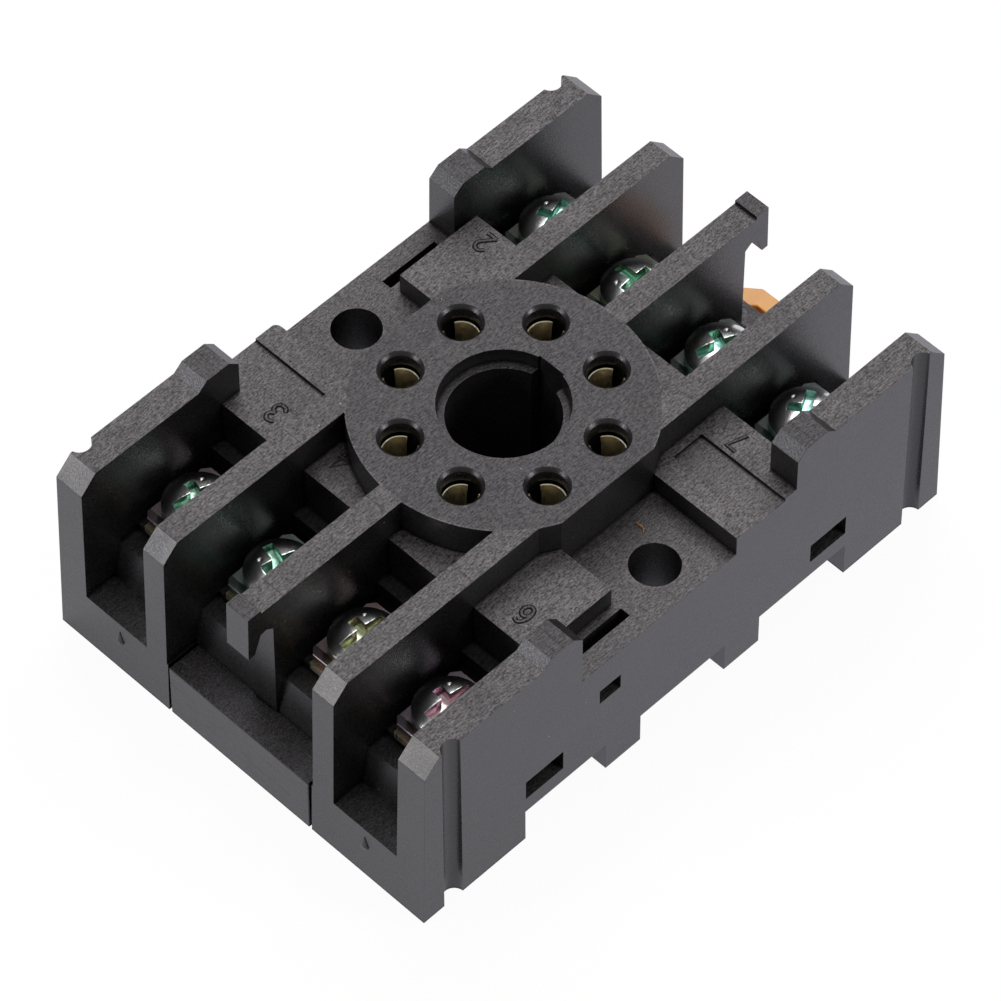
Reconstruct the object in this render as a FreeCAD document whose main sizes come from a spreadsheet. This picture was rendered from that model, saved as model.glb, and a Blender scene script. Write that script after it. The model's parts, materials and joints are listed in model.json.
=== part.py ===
import FreeCAD, Part
import math
import os
import re
import Sketcher

# Relay socket, millimetres. X runs along the long side, +Z points out of the panel.
# The origin is the axis of the octal tower, on the plane of the panel.

# Driving dimensions, one cell of the sheet each
sizes = {
    # outside of the moulding, whose sides narrow toward the top
    "footHalfX": 29.25,
    "draftX": 0.5,
    "footHalfY": 20.45,
    "draftY": 0.2,
    "draftTopZ": 21.5,
    # walls of the wire channels
    "outerTopZ": 20.2,
    "innerTopZ": 20.05,
    "outerWallInY": 17.4,
    "barrierInY": 8.18,
    "barrierOutY": 10.47,
    "centreWallHalfY": 1.2,
    "centreWallInset": 3.05,
    "outerBevel": 1.57,
    "innerBevel": 1.5,
    # floors of the wire channels
    "pocketEdgeX": 13.85,
    "sillEdgeX": 15.2,
    "sillTopZ": 12.4,
    "crossWallInX": 23.3,
    "crossWallCrestX": 25.2,
    "crossWallFootX": 26.05,
    "crossWallTopZ": 9.5,
    "shelfReach": 0.8,
    "shelfDepth": 1.6,
    "endFloorZ": 5.9,
    # decks at both sides of the tower
    "deckZ": 14.7,
    "deckHalfX": 11.9,
    "ceilingZ": 10.9,
    "platformZ": 16.75,
    "platformEndX": 5.15,
    "platformInY": 9.5,
    "shortPlatformY": 16.8,
    "platformRound": 0.7,
    "panelInX": 7.45,
    "panelOutX": 10.6,
    "panelInY": 11.3,
    "panelDepth": 0.28,
    "clipSlotInX": 4.85,
    "clipSlotOutX": 10.7,
    "clipSlotInY": 17.55,
    "clipSlotOutY": 18.5,
    "deckCoreInX": 4.4,
    "deckCoreOutX": 13.0,
    "deckCoreInY": 13.7,
    "deckCoreOutY": 16.4,
    "deckCoreTopZ": 13.3,
    # ears beside the decks
    "earTopZ": 21.0,
    "earShoulderZ": 20.1,
    "earFlatInX": 12.9,
    "earFlatOutX": 15.3,
    "earOutX": 16.2,
    # tower with the octal pin circle and the key
    "towerRadius": 12.45,
    "towerHalfY": 11.35,
    "pinBoreRadius": 1.6,
    "pinMouthWiden": 0.3,
    "pinBoreEndZ": 18.7,
    "clipWellHalf": 1.85,
    "keyBoreRadius": 4.65,
    "keyLipRadius": 5.35,
    "keyLipDepth": 1.5,
    "keySlotHalfY": 1.35,
    "keyTubeRadius": 5.85,
    "keyTubeEndZ": 5.4,
    # end hooks of the centre wall
    "hookPadReach": 1.9,
    "hookPadTopZ": 20.4,
    "hookLipZ": 15.45,
    "hookLipReach": 1.05,
    "hookThroatReach": 1.75,
    "hookThroatZ": 17.35,
    "hookArchReach": 2.35,
    "hookArchZ": 17.5,
    "hookRootZ": 17.0,
    # rail recess, feet and lower walls
    "recessHalfX": 18.1,
    "recessTopZ": 3.6,
    "sideWallInY": 18.2,
    "blockGapY": 8.05,
    "footWall": 1.6,
    "footCoreTopZ": 4.3,
    "midFootZ": 0.45,
    "leftFootInX": 5.3,
    "leftFootOutX": 9.2,
    "rightFootInX": 4.2,
    "rightFootOutX": 8.2,
    "clipWindowInset": 0.05,
    "clipWindowLength": 4.1,
    "clipWindowLowZ": 5.3,
    "clipWindowTopZ": 7.5,
    "clipReliefTopZ": 8.0,
    "sideSlotInX": 7.65,
    "sideSlotOutX": 9.95,
    "sideSlotLowZ": 9.85,
    "sideSlotTopZ": 11.45,
    "gripInset": 3.25,
    "gripProud": 0.05,
    "gripRadius": 1.0,
    # panel screws
    "panelScrewY": 16.5,
    "panelHoleRadius": 2.1,
    "panelBossHalf": 3.3,
    # base moulding
    "baseTopZ": 5.1,
    "blockHalfY": 7.8,
    "blockCoreHalfY": 6.2,
    "ribInX": 10.6,
    "ribInset": 0.9,
    "ribWidth": 1.5,
    "outerRibInX": 6.9,
    "outerRibY": 11.4,
    "innerRibY": 2.7,
    "clipInset": 0.6,
    "clipLength": 3.0,
    "clipStem": 1.4,
    "clipBarbReach": 1.4,
    "clipBarbLowZ": 5.7,
    "clipBarbTopZ": 6.9,
    "railHookReach": 1.5,
    "railHookHalfY": 4.7,
    "railHookLowZ": 0.9,
    "railHookTopZ": 2.3,
    # latch and its guide
    "guideHalfY": 5.9,
    "guideRoofZ": 3.3,
    "guideLipHalfY": 5.0,
    "guideLipZ": 0.8,
    "stopNotchSetback": 1.9,
    "stopNotchLength": 4.3,
    "stopNotchHalfY": 6.6,
    "latchReach": 1.7,
    "latchStep": 0.3,
    "latchTipTopZ": 2.2,
    "latchBevel": 1.0,
    "latchHalfY": 4.7,
    "latchLowZ": 0.4,
    "latchTopZ": 3.0,
    "flangeHalfY": 5.6,
    "flangeLowZ": 1.1,
    "flangeInset": 0.35,
    "stopThick": 0.7,
    "stopHalfY": 6.3,
    "tabGap": 0.35,
    "tabSide": 1.3,
    "tabLength": 3.4,
    "tabHalfY": 5.2,
    "tabEndHalfY": 2.6,
    "eyeInset": 0.3,
    "eyeLength": 1.4,
    "eyeHalfY": 2.2,
    "eyeBevel": 0.45,
    # brass strips
    "outerRowY": 13.93,
    "centreRowY": 4.69,
    "stripLowZ": 10.1,
    "padReachIn": 3.7,
    "padReachOut": 3.6,
    "padHalfY": 2.45,
    "screwX": 19.9,
    "nutHalf": 2.3,
    "nutLowZ": 8.6,
    "threadRadius": 1.8,
    "pinNearAxis": 3.339,
    "pinFarAxis": 8.061,
    "stripEndHalf": 1.85,
    "outerLegInY": 10.8,
    "outerLegOutY": 13.2,
    # clip leaves that grip the relay's pins
    "leafGap": 1.3,
    "leafThick": 0.3,
    "leafFlat": 0.55,
    "leafBend": 0.65,
    "leafTopZ": 17.7,
    # clamps and screws
    "clampLowZ": 11.2,
    "clampThick": 0.7,
    "clampHalfX": 3.5,
    "clampHalfY": 2.85,
    "clampFlatHalfX": 2.6,
    "clampRise": 0.25,
    "clampBevel": 0.6,
    "clampHoleRadius": 1.8,
    "headLowZ": 11.95,
    "headRadius": 2.95,
    "headRimZ": 13.5,
    "headCrownZ": 13.95,
    "crownRadius": 2.4,
    "shankRadius": 1.75,
    "shankLowZ": 6.3,
    "recessHalfWidth": 0.45,
    "slotHalfLength": 2.1,
    "crossHalfLength": 1.45,
    "slotFloorZ": 12.9,
    # clearance between pieces that are fitted together and don't move
    "seatGap": 0.3,
}
reach = "footHalfX + 1"
sideReach = "footHalfY + 1"

# Places that follow from the sizes: what belongs to an end or a side keeps its distance from it
places = {
    "topHalfX": "footHalfX - draftX",
    "topHalfY": "footHalfY - draftY",
    "centreWallEndX": "footHalfX - centreWallInset",
    "hookPadInX": "footHalfX - hookPadReach",
    "hookLipInX": "footHalfX - hookLipReach",
    "hookThroatX": "footHalfX - hookThroatReach",
    "hookArchX": "footHalfX - hookArchReach",
    "gripX": "footHalfX - gripInset",
    "gripY": "footHalfY + gripProud",
    "clipWindowOutX": "recessHalfX - clipWindowInset",
    "clipWindowInX": "clipWindowOutX - clipWindowLength",
    "ribOutX": "min(recessHalfX - ribInset; screwX - nutHalf - seatGap)",
    "clipOutX": "recessHalfX - clipInset",
    "clipInX": "clipOutX - clipLength",
    "clipBarbY": "sideWallInY + clipBarbReach",
    "railHookTipX": "recessHalfX - railHookReach",
    "stopNotchInX": "recessHalfX + stopNotchSetback",
    "stopNotchOutX": "stopNotchInX + stopNotchLength",
    "latchTipX": "recessHalfX - latchReach",
    "latchStepX": "recessHalfX + latchStep",
    "stopInX": "stopNotchInX + seatGap",
    "stopOutX": "stopInX + stopThick",
    "flangeOutX": "footHalfX - flangeInset",
    "tabInX": "footHalfX + tabGap",
    "tabShoulderX": "tabInX + tabSide",
    "tabEndX": "tabInX + tabLength",
    "eyeInX": "tabInX + eyeInset",
    "eyeOutX": "eyeInX + eyeLength",
    "padInX": "screwX - padReachIn",
    "padOutX": "screwX + padReachOut",
    "baseHalfX": "recessHalfX - seatGap",
    "baseHalfY": "sideWallInY - seatGap",
}

doc = FreeCAD.newDocument("RelaySocket")
sheet = doc.addObject("Spreadsheet::Sheet", "Sizes")
for row, (alias, number) in enumerate(sizes.items(), 1):
    sheet.set(f"A{row}", alias)
    sheet.set(f"B{row}", str(number))
    sheet.setAlias(f"B{row}", alias)
doc.recompute()


# Helpers: every size below is an expression in the sheet's aliases


def spell(match):
    word = match.group()
    if word in places:
        return f"({formula(places[word])})"
    return "Sizes." + word if word in sizes else word


def formula(text):
    return re.sub(r"[A-Za-z]\w*", spell, text)


def bind(item, path, text):
    item.setExpression(path, formula(text))


def block(name, xs, ys, zs):
    item = doc.addObject("Part::Box", name)
    for side, letter, (low, high) in zip(("Length", "Width", "Height"), "xyz", (xs, ys, zs)):
        bind(item, side, f"({high}) - ({low})")
        bind(item, f"Placement.Base.{letter}", low)
    return item


def rod(name, radius, x, y, zs):
    item = doc.addObject("Part::Cylinder", name)
    bind(item, "Radius", radius)
    bind(item, "Height", f"({zs[1]}) - ({zs[0]})")
    for letter, text in zip("xyz", (x, y, zs[0])):
        bind(item, f"Placement.Base.{letter}", text)
    return item


def taper(name, lowRadius, highRadius, x, y, zs):
    item = doc.addObject("Part::Cone", name)
    bind(item, "Radius1", lowRadius)
    bind(item, "Radius2", highRadius)
    bind(item, "Height", f"({zs[1]}) - ({zs[0]})")
    for letter, text in zip("xyz", (x, y, zs[0])):
        bind(item, f"Placement.Base.{letter}", text)
    return item


def fuse(name, items):
    item = doc.addObject("Part::MultiFuse", name)
    item.Shapes = items
    item.Refine = True
    return item


def cut(name, base, tools):
    item = doc.addObject("Part::Cut", name)
    item.Base = base
    item.Tool = fuse(name + "Tools", tools) if len(tools) > 1 else tools[0]
    item.Refine = True
    return item


def common(name, items):
    item = doc.addObject("Part::MultiCommon", name)
    item.Shapes = items
    return item


def mirrored(source, letter):
    item = doc.addObject("Part::Mirroring", f"{source.Name}Mirror{letter}")
    item.Source = source
    item.Normal = FreeCAD.Vector(letter == "X", letter == "Y", 0)
    return item


def turned(source):
    item = doc.addObject("Part::Compound", f"{source.Name}Turned")
    item.Links = [source]
    item.Placement.Rotation = FreeCAD.Rotation(FreeCAD.Vector(0, 0, 1), 180)
    return item


def both(source, letter):
    return [source, mirrored(source, letter)]


def diagonal(source):
    return [source, turned(source)]


def everyCorner(source):
    return [source, mirrored(source, "X"), mirrored(source, "Y"), turned(source)]


def originPlane(body, role):
    return next(item for item in body.Origin.OriginFeatures if item.Role == role)


def sketchOn(body, name, role, lift):
    sketch = body.newObject("Sketcher::SketchObject", name)
    sketch.AttachmentSupport = [(originPlane(body, role), "")]
    sketch.MapMode = "FlatFace"
    bind(sketch, "AttachmentOffset.Base.z", lift)
    return sketch


# A closed outline of straight edges. Both distances of every corner are bound to the sheet.
def outline(sketch, corners):
    count = len(corners)
    seeds = [FreeCAD.Vector(math.cos(turn), math.sin(turn), 0)
             for turn in (2 * math.pi * step / count for step in range(count))]
    sketch.addGeometry([Part.LineSegment(seeds[step], seeds[(step + 1) % count]) for step in range(count)])
    for step in range(count):
        sketch.addConstraint(Sketcher.Constraint("Coincident", step, 2, (step + 1) % count, 1))
    for step, (across, up) in enumerate(corners):
        for kind, start, text in (("DistanceX", seeds[step].x, across), ("DistanceY", seeds[step].y, up)):
            number = sketch.addConstraint(Sketcher.Constraint(kind, -1, 1, step, 1, start))
            bind(sketch, f"Constraints[{number}]", text)


def ring(sketch, radius, x="0", y="0"):
    circle = sketch.addGeometry(Part.Circle(FreeCAD.Vector(0.5, 0.5, 0), FreeCAD.Vector(0, 0, 1), 0.7))
    for parts, text in (
        (("DistanceX", -1, 1, circle, 3, 0.5), x),
        (("DistanceY", -1, 1, circle, 3, 0.5), y),
        (("Radius", circle, 0.7), radius),
    ):
        bind(sketch, f"Constraints[{sketch.addConstraint(Sketcher.Constraint(*parts))}]", text)


def pad(body, sketch, length):
    item = body.newObject("PartDesign::Pad", sketch.Name + "Pad")
    item.Profile = sketch
    bind(item, "Length", length)
    return item


# The cut runs from the sketch's plane toward +Z
def pocketUp(body, sketch, length):
    item = body.newObject("PartDesign::Pocket", sketch.Name + "Pocket")
    item.Profile = sketch
    item.Reversed = True
    bind(item, "Length", length)
    return item


# Bevels the upright edges of a body that so far has flat sides only
def bevelUprights(body, size):
    base = body.Tip
    edges = []
    for number, edge in enumerate(base.Shape.Edges, 1):
        first, last = edge.Vertexes[0].Point, edge.Vertexes[-1].Point
        if math.hypot(first.x - last.x, first.y - last.y) < 1e-6:
            edges.append(f"Edge{number}")
    item = body.newObject("PartDesign::Chamfer", body.Name + "Bevels")
    item.Base = (base, edges)
    bind(item, "Size", size)


# A plate standing in the XZ plane, between two places on Y
def upright(name, corners, ys):
    body = doc.addObject("PartDesign::Body", name)
    sketch = sketchOn(body, name + "Outline", "XZ_Plane", f"-({ys[1]})")
    outline(sketch, corners)
    pad(body, sketch, f"({ys[1]}) - ({ys[0]})")
    return body


# Housing


def draftedHull():
    hull = doc.addObject("Part::Wedge", "DraftedHull")
    rise = "draftTopZ / innerTopZ"
    topX = f"(footHalfX + (topHalfX - footHalfX) * {rise})"
    topY = f"(footHalfY + (topHalfY - footHalfY) * {rise})"
    for path, text in {"X": "footHalfX", "Z": "footHalfY", "X2": topX, "Z2": topY}.items():
        bind(hull, path + "min", "-" + text)
        bind(hull, path + "max", text)
    bind(hull, "Ymin", "0")
    bind(hull, "Ymax", "draftTopZ")
    hull.Placement.Rotation = FreeCAD.Rotation(FreeCAD.Vector(1, 0, 0), 90)
    return hull


def outerWall():
    bevelX = "(topHalfX - outerBevel)"
    return upright("OuterWall", [
        ("deckHalfX", "ceilingZ"),
        ("deckHalfX", "earShoulderZ"),
        ("earFlatInX", "earTopZ"),
        ("earFlatOutX", "earTopZ"),
        ("earOutX", "outerTopZ"),
        (bevelX, "outerTopZ"),
        (reach, f"outerTopZ - ({reach}) + {bevelX}"),
        (reach, "0"),
        ("recessHalfX", "0"),
        ("recessHalfX", "recessTopZ"),
        ("sillEdgeX", "recessTopZ"),
        ("sillEdgeX", "ceilingZ"),
    ], ("outerWallInY", sideReach))


def barrier():
    bevelX = "(topHalfX - innerBevel)"
    half = [
        (bevelX, "innerTopZ"),
        (reach, f"innerTopZ - ({reach}) + {bevelX}"),
        (reach, "0"),
        ("recessHalfX", "0"),
        ("recessHalfX", "baseTopZ"),
        ("sillEdgeX", "baseTopZ"),
        ("sillEdgeX", "ceilingZ"),
    ]
    other = [(f"-({across})", up) for across, up in reversed(half)]
    return upright("Barrier", half + other, ("barrierInY", "barrierOutY"))


# The wall between the two middle channels ends in a hook that hangs over each end
def centreWall():
    half = [
        ("hookPadInX", "innerTopZ"),
        ("hookPadInX", "hookPadTopZ"),
        (reach, "hookPadTopZ"),
        (reach, "hookLipZ"),
        ("hookLipInX", "hookLipZ"),
        ("hookThroatX", "hookThroatZ"),
        ("hookArchX", "hookArchZ"),
        ("centreWallEndX", "hookRootZ"),
        ("centreWallEndX", "endFloorZ"),
        ("baseHalfX", "endFloorZ"),
        ("baseHalfX", "baseTopZ"),
        ("sillEdgeX", "baseTopZ"),
        ("sillEdgeX", "ceilingZ"),
    ]
    other = [(f"-({across})", up) for across, up in reversed(half)]
    return upright("CentreWall", half + other, ("-centreWallHalfY", "centreWallHalfY"))


def tower():
    rise = ("ceilingZ", "innerTopZ")
    barrel = rod("TowerBarrel", "towerRadius", "0", "0", rise)
    flats = block("TowerFlats", ("-towerRadius", "towerRadius"), ("-towerHalfY", "towerHalfY"), rise)
    return common("Tower", [barrel, flats])


# The wall under each row's wire entries leans back toward its screws
def crossWall():
    return upright("CrossWall", [
        ("crossWallInX", "endFloorZ"),
        ("crossWallFootX", "endFloorZ"),
        ("crossWallCrestX", "crossWallTopZ"),
        ("crossWallInX", "crossWallTopZ"),
    ], ("-outerWallInY", "outerWallInY"))


def channelFloors():
    inside = ("-outerWallInY", "outerWallInY")
    slab = block("Slab", ("-pocketEdgeX", "pocketEdgeX"), (f"-({sideReach})", sideReach),
                 ("ceilingZ", "deckZ"))
    sill = block("Sill", ("-sillEdgeX", "sillEdgeX"), inside, ("ceilingZ", "sillTopZ"))
    shelf = block("Shelf", ("crossWallInX - shelfReach", "crossWallInX"), inside,
                  ("stripLowZ - shelfDepth", "stripLowZ"))
    foot = block("Foot", ("recessHalfX", reach), ("blockGapY", sideReach), ("0", "endFloorZ"))
    sideWall = block("SideWall", ("-recessHalfX", "recessHalfX"), ("sideWallInY", sideReach),
                     ("recessTopZ", "ceilingZ"))
    return [slab, sill] + both(crossWall(), "X") + both(shelf, "X") + everyCorner(foot) + both(sideWall, "Y")


# Raised platforms carry the terminal numbers. Two stop short of a slot for a hold-down clip,
# and one of the other two has a rounded outer corner.
def platforms():
    rise = ("deckZ", "platformZ")
    middle = block("MiddlePlatform", ("-pocketEdgeX", "pocketEdgeX"), ("-barrierInY", "barrierInY"), rise)
    short = block("ShortPlatform", ("platformEndX", "pocketEdgeX"), ("platformInY", "shortPlatformY"), rise)
    full = block("FullPlatform", ("platformEndX", "pocketEdgeX"), (f"-({sideReach})", "-platformInY"), rise)
    roundX = "-platformEndX - platformRound"
    roundY = "footHalfY - draftY / 2 - platformRound"
    wide = block("RoundedPlatformWide", ("-pocketEdgeX", "-platformEndX"), ("platformInY", roundY), rise)
    long = block("RoundedPlatformLong", ("-pocketEdgeX", roundX), ("platformInY", sideReach), rise)
    corner = rod("RoundedPlatformCorner", "platformRound", roundX, roundY, rise)
    return [middle, full, wide, long, corner] + diagonal(short)


def lowerParts():
    left = block("LeftFoot", ("-leftFootOutX", "-leftFootInX"), (f"-({sideReach})", "-sideWallInY"),
                 ("midFootZ", "recessTopZ"))
    right = block("RightFoot", ("rightFootInX", "rightFootOutX"), (f"-({sideReach})", "-sideWallInY"),
                  ("midFootZ", "recessTopZ"))
    boss = block("PanelBoss", ("-panelBossHalf", "panelBossHalf"),
                 ("panelScrewY - panelBossHalf", "panelScrewY + panelBossHalf"), ("recessTopZ", "ceilingZ"))
    keyTube = rod("KeyTube", "keyTubeRadius", "0", "0", ("keyTubeEndZ", "ceilingZ"))
    return diagonal(left) + diagonal(right) + both(boss, "Y") + [keyTube]


# The key bore has a wider mouth, and a slot toward +X
def keyCuts():
    bore = rod("KeyBore", "keyBoreRadius", "0", "0", ("0", "draftTopZ"))
    lip = rod("KeyLip", "keyLipRadius", "0", "0", ("innerTopZ - keyLipDepth", "draftTopZ"))
    slot = block("KeySlot", ("0", "keyLipRadius"), ("-keySlotHalfY", "keySlotHalfY"), ("0", "innerTopZ"))
    return [bore, lip, slot]


def pinPlaces():
    return [(f"{alongX}{xText}", f"{alongY}{yText}")
            for xText, yText in (("pinFarAxis", "pinNearAxis"), ("pinNearAxis", "pinFarAxis"))
            for alongX in ("", "-") for alongY in ("", "-")]


def pinCuts():
    cuts = []
    for number, (x, y) in enumerate(pinPlaces(), 1):
        cuts += [
            taper(f"PinMouth{number}", "pinBoreRadius", "pinBoreRadius + pinMouthWiden", x, y,
                  ("innerTopZ - pinMouthWiden", "innerTopZ")),
            rod(f"PinBore{number}", "pinBoreRadius", x, y, ("ceilingZ", "innerTopZ")),
            block(f"ClipWell{number}", (f"{x} - clipWellHalf", f"{x} + clipWellHalf"),
                  (f"{y} - clipWellHalf", f"{y} + clipWellHalf"), ("ceilingZ - 1", "pinBoreEndZ")),
        ]
    return cuts


def sideCuts():
    out = ("sideWallInY - 0.1", sideReach)
    window = block("ClipWindow", ("clipWindowInX", "clipWindowOutX"), out,
                   ("clipWindowLowZ", "clipWindowTopZ"))
    relief = block("ClipRelief", ("clipWindowInX", "recessHalfX"), ("outerWallInY - 1", "sideWallInY"),
                   ("0", "clipReliefTopZ"))
    opening = block("SideSlot", ("sideSlotInX", "sideSlotOutX"), out, ("sideSlotLowZ", "sideSlotTopZ"))
    slot = mirrored(opening, "X")
    grip = rod("Grip", "gripRadius", "gripX", "gripY", ("-1", "draftTopZ"))
    slotNear = mirrored(slot, "Y")
    return everyCorner(window) + everyCorner(relief) + diagonal(slotNear) + everyCorner(grip)


def deckCuts():
    shallow = block("MarkPanel", ("panelInX", "panelOutX"), ("panelInY", sideReach),
                    ("platformZ - panelDepth", "draftTopZ"))
    panel = mirrored(shallow, "X")
    clipSlot = block("ClipSlot", ("clipSlotInX", "clipSlotOutX"), ("clipSlotInY", "clipSlotOutY"),
                     ("ceilingZ", "deckZ"))
    hole = rod("PanelHole", "panelHoleRadius", "0", "panelScrewY", ("recessTopZ - 1", "draftTopZ"))
    core = block("DeckCore", ("deckCoreInX", "deckCoreOutX"), ("deckCoreInY", "deckCoreOutY"),
                 ("ceilingZ", "deckCoreTopZ"))
    footCore = block("FootCore", ("recessHalfX + footWall", "footHalfX - footWall"),
                     ("blockGapY + footWall", "footHalfY - footWall"), ("0", "footCoreTopZ"))
    return diagonal(panel) + diagonal(clipSlot) + both(hole, "Y") + everyCorner(core) + everyCorner(footCore)


def makeHousing():
    solids = both(outerWall(), "X")
    solids += [mirrored(wall, "Y") for wall in solids]
    solids += both(barrier(), "Y") + [centreWall(), tower()]
    solids += channelFloors() + platforms() + lowerParts()
    moulding = common("Moulding", [fuse("Solids", solids), draftedHull()])
    return cut("Housing", moulding, keyCuts() + pinCuts() + sideCuts() + deckCuts())


# Base moulding


def baseRibs():
    innerRib = block("InnerRib", ("ribInX", "ribOutX"), ("innerRibY", "innerRibY + ribWidth"),
                     ("baseTopZ", "stripLowZ"))
    outerRib = block("OuterRib", ("outerRibInX", "ribOutX"), ("outerRibY", "outerRibY + ribWidth"),
                     ("baseTopZ", "stripLowZ"))
    return everyCorner(innerRib) + everyCorner(outerRib)


def snapClip():
    body = doc.addObject("PartDesign::Body", "SnapClip")
    sketch = sketchOn(body, "ClipProfile", "YZ_Plane", "clipInX")
    outline(sketch, [
        ("baseHalfY - clipStem", "recessTopZ"),
        ("baseHalfY", "recessTopZ"),
        ("baseHalfY", "clipBarbLowZ"),
        ("clipBarbY", "clipBarbLowZ"),
        ("baseHalfY", "clipBarbTopZ"),
        ("baseHalfY - clipStem", "clipBarbTopZ"),
    ])
    pad(body, sketch, "clipOutX - clipInX")
    return body


def makeBase():
    level = ("recessTopZ", "baseTopZ")
    plate = block("BasePlate", ("-baseHalfX", "baseHalfX"), ("-baseHalfY", "baseHalfY"), level)
    neck = block("Neck", ("baseHalfX", "recessHalfX"), ("-blockHalfY", "blockHalfY"), level)
    bar = block("EndBlock", ("recessHalfX", "footHalfX"), ("-blockHalfY", "blockHalfY"), ("0", "endFloorZ"))
    railHook = block("RailHook", ("-recessHalfX", "-railHookTipX"), ("-railHookHalfY", "railHookHalfY"),
                     ("railHookLowZ", "railHookTopZ"))
    solids = [plate, railHook] + both(bar, "X") + both(neck, "X") + baseRibs() + everyCorner(snapClip())
    notch = block("BossNotch", ("-panelBossHalf - seatGap", "panelBossHalf + seatGap"),
                  ("panelScrewY - panelBossHalf - seatGap", sideReach), ("0", "ceilingZ"))
    core = block("BlockCore", ("-footHalfX + footWall", "-recessHalfX - footWall"),
                 ("-blockCoreHalfY", "blockCoreHalfY"), ("0", "footCoreTopZ"))
    along = ("baseHalfX", reach)
    guide = block("Guide", along, ("-guideHalfY", "guideHalfY"), ("guideLipZ", "guideRoofZ"))
    throat = block("GuideThroat", along, ("-guideLipHalfY", "guideLipHalfY"), ("0", "guideRoofZ"))
    stopNotch = block("StopNotch", ("stopNotchInX", "stopNotchOutX"), ("-stopNotchHalfY", "stopNotchHalfY"),
                      ("guideLipZ", "guideRoofZ"))
    cuts = both(notch, "Y") + [core, guide, throat, stopNotch]
    return cut("Base", fuse("BaseSolids", solids), cuts)


# Rail latch: one flat moulding that slides along X in the base


def makeSlider():
    body = doc.addObject("PartDesign::Body", "Slider")
    profile = sketchOn(body, "SliderProfile", "XZ_Plane", "-latchHalfY")
    outline(profile, [
        ("latchTipX + latchBevel", "latchLowZ"),
        ("tabInX", "latchLowZ"),
        ("tabInX", "latchTopZ"),
        ("latchStepX", "latchTopZ"),
        ("latchStepX", "latchTipTopZ"),
        ("latchTipX", "latchTipTopZ"),
        ("latchTipX", "latchLowZ + latchBevel"),
    ])
    pad(body, profile, "2 * latchHalfY")
    flange = sketchOn(body, "SliderFlange", "XY_Plane", "flangeLowZ")
    left = [
        ("latchStepX", "flangeHalfY"),
        ("stopInX", "flangeHalfY"),
        ("stopInX", "stopHalfY"),
        ("stopOutX", "stopHalfY"),
        ("stopOutX", "flangeHalfY"),
        ("flangeOutX", "flangeHalfY"),
    ]
    outline(flange, left + [(across, "-" + up) for across, up in reversed(left)])
    pad(body, flange, "latchTopZ - flangeLowZ")
    tab = sketchOn(body, "SliderTab", "XY_Plane", "latchLowZ")
    left = [("tabInX", "tabHalfY"), ("tabShoulderX", "tabHalfY"), ("tabEndX", "tabEndHalfY")]
    outline(tab, left + [(across, "-" + up) for across, up in reversed(left)])
    pad(body, tab, "latchTopZ - latchLowZ")
    eye = sketchOn(body, "SliderEye", "XY_Plane", "0")
    left = [
        ("eyeInX", "eyeHalfY - eyeBevel"),
        ("eyeInX + eyeBevel", "eyeHalfY"),
        ("eyeOutX - eyeBevel", "eyeHalfY"),
        ("eyeOutX", "eyeHalfY - eyeBevel"),
    ]
    outline(eye, left + [(across, f"-({up})") for across, up in reversed(left)])
    pocketUp(body, eye, "latchTopZ + 1")
    return body


# Brass strips, drawn for the quarter at +X +Y. Each carries a square nut and the clip of its pin.


def threadedPad(name, rowY):
    plate = block(name + "Plate", ("padInX", "padOutX"), (f"{rowY} - padHalfY", f"{rowY} + padHalfY"),
                  ("stripLowZ", "ceilingZ"))
    nut = block(name + "Nut", ("screwX - nutHalf", "screwX + nutHalf"),
                (f"{rowY} - nutHalf", f"{rowY} + nutHalf"), ("nutLowZ", "stripLowZ"))
    return [plate, nut]


# One leaf of a clip, bent round the pin from the side toward +Y or -Y
def clipLeaf(name, pinX, pinY, side):
    half = [
        ("leafFlat", "leafGap"),
        ("leafFlat + leafBend", "leafGap - leafBend"),
        ("leafFlat + leafBend + leafThick", "leafGap - leafBend"),
        ("leafFlat + leafThick / 2", "leafGap + leafThick"),
    ]
    other = [(f"-({across})", up) for across, up in reversed(half)]
    body = doc.addObject("PartDesign::Body", name)
    sketch = sketchOn(body, name + "Outline", "XY_Plane", "ceilingZ")
    outline(sketch, [(f"{pinX} + ({across})", f"{pinY} {side} ({up})") for across, up in half + other])
    pad(body, sketch, "leafTopZ - ceilingZ")
    return body


def makeStrip(name, rowY, pinX, pinY, legs):
    leaves = [clipLeaf(name + "FarLeaf", pinX, pinY, "+"), clipLeaf(name + "NearLeaf", pinX, pinY, "-")]
    blank = fuse(name + "Blank", threadedPad(name, rowY) + legs + leaves)
    thread = rod(name + "Thread", "threadRadius", "screwX", rowY, ("0", "draftTopZ"))
    return cut(name, blank, [thread])


def centreStrip():
    leg = block("CentreLeg", ("pinFarAxis - stripEndHalf", "padInX"),
                ("pinNearAxis - stripEndHalf", "pinNearAxis + stripEndHalf"), ("stripLowZ", "ceilingZ"))
    return makeStrip("CentreStrip", "centreRowY", "pinFarAxis", "pinNearAxis", [leg])


def outerStrip():
    thick = ("stripLowZ", "ceilingZ")
    inX = "pinNearAxis - stripEndHalf"
    alongX = block("OuterLeg", (inX, "padInX"), ("outerLegInY", "outerLegOutY"), thick)
    alongY = block("OuterToe", (inX, "pinNearAxis + stripEndHalf"),
                   ("pinFarAxis - stripEndHalf", "outerLegOutY"), thick)
    return makeStrip("OuterStrip", "outerRowY", "pinNearAxis", "pinFarAxis", [alongX, alongY])


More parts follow.
